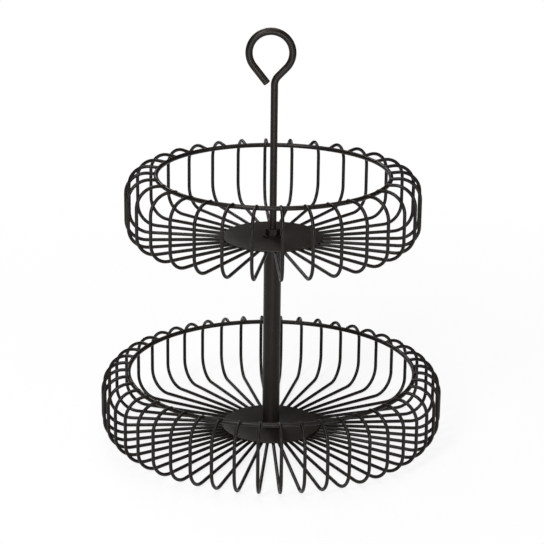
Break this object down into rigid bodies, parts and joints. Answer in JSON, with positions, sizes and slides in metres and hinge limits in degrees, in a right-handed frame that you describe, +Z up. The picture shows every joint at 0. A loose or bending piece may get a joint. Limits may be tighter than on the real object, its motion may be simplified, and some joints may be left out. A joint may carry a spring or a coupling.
{
  "type": "tiered wire basket",
  "caption": "Two-tier round fruit basket of black coated wire on a centre post, with a looped rod handle on top.",
  "frame": {"origin": "on the table, on the axis of the centre post", "axes": "+Z up along the post, -Y towards the front, the flat handle loop lies in the XZ plane"},
  "size_m": [0.3044, 0.3044, 0.3715],
  "materials": {
    "black_powder_coat": "satin",
    "zinc_plated_steel": "satin"
  },
  "bodies": {
    "root": {"base_screw": "zinc_plated_steel", "base_washer": "zinc_plated_steel", "lower_hub_plate": "black_powder_coat", "lower_rim_ring": "black_powder_coat", "lower_wire_pair_01": "black_powder_coat", "lower_wire_pair_02": "black_powder_coat", "lower_wire_pair_03": "black_powder_coat", "lower_wire_pair_04": "black_powder_coat", "lower_wire_pair_05": "black_powder_coat", "lower_wire_pair_06": "black_powder_coat", "lower_wire_pair_07": "black_powder_coat", "lower_wire_pair_08": "black_powder_coat", "lower_wire_pair_09": "black_powder_coat", "lower_wire_pair_10": "black_powder_coat", "lower_wire_pair_11": "black_powder_coat", "lower_wire_pair_12": "black_powder_coat", "lower_wire_pair_13": "black_powder_coat", "lower_wire_pair_14": "black_powder_coat", "lower_wire_pair_15": "black_powder_coat", "lower_wire_pair_16": "black_powder_coat", "lower_wire_pair_17": "black_powder_coat", "lower_wire_pair_18": "black_powder_coat", "lower_wire_pair_19": "black_powder_coat", "lower_wire_pair_20": "black_powder_coat", "lower_wire_pair_21": "black_powder_coat", "lower_wire_pair_22": "black_powder_coat", "lower_wire_pair_23": "black_powder_coat", "lower_wire_pair_24": "black_powder_coat", "post_bottom_plug": "zinc_plated_steel", "post_tube": "black_powder_coat", "post_top_plug": "zinc_plated_steel", "upper_hub_plate": "black_powder_coat", "upper_rim_ring": "black_powder_coat", "upper_wire_pair_01": "black_powder_coat", "upper_wire_pair_02": "black_powder_coat", "upper_wire_pair_03": "black_powder_coat", "upper_wire_pair_04": "black_powder_coat", "upper_wire_pair_05": "black_powder_coat", "upper_wire_pair_06": "black_powder_coat", "upper_wire_pair_07": "black_powder_coat", "upper_wire_pair_08": "black_powder_coat", "upper_wire_pair_09": "black_powder_coat", "upper_wire_pair_10": "black_powder_coat", "upper_wire_pair_11": "black_powder_coat", "upper_wire_pair_12": "black_powder_coat", "upper_wire_pair_13": "black_powder_coat", "upper_wire_pair_14": "black_powder_coat", "upper_wire_pair_15": "black_powder_coat", "upper_wire_pair_16": "black_powder_coat", "handle_lock_washer": "black_powder_coat", "handle_lock_nut": "black_powder_coat", "handle_rod": "black_powder_coat"}
  },
  "joints": []
}
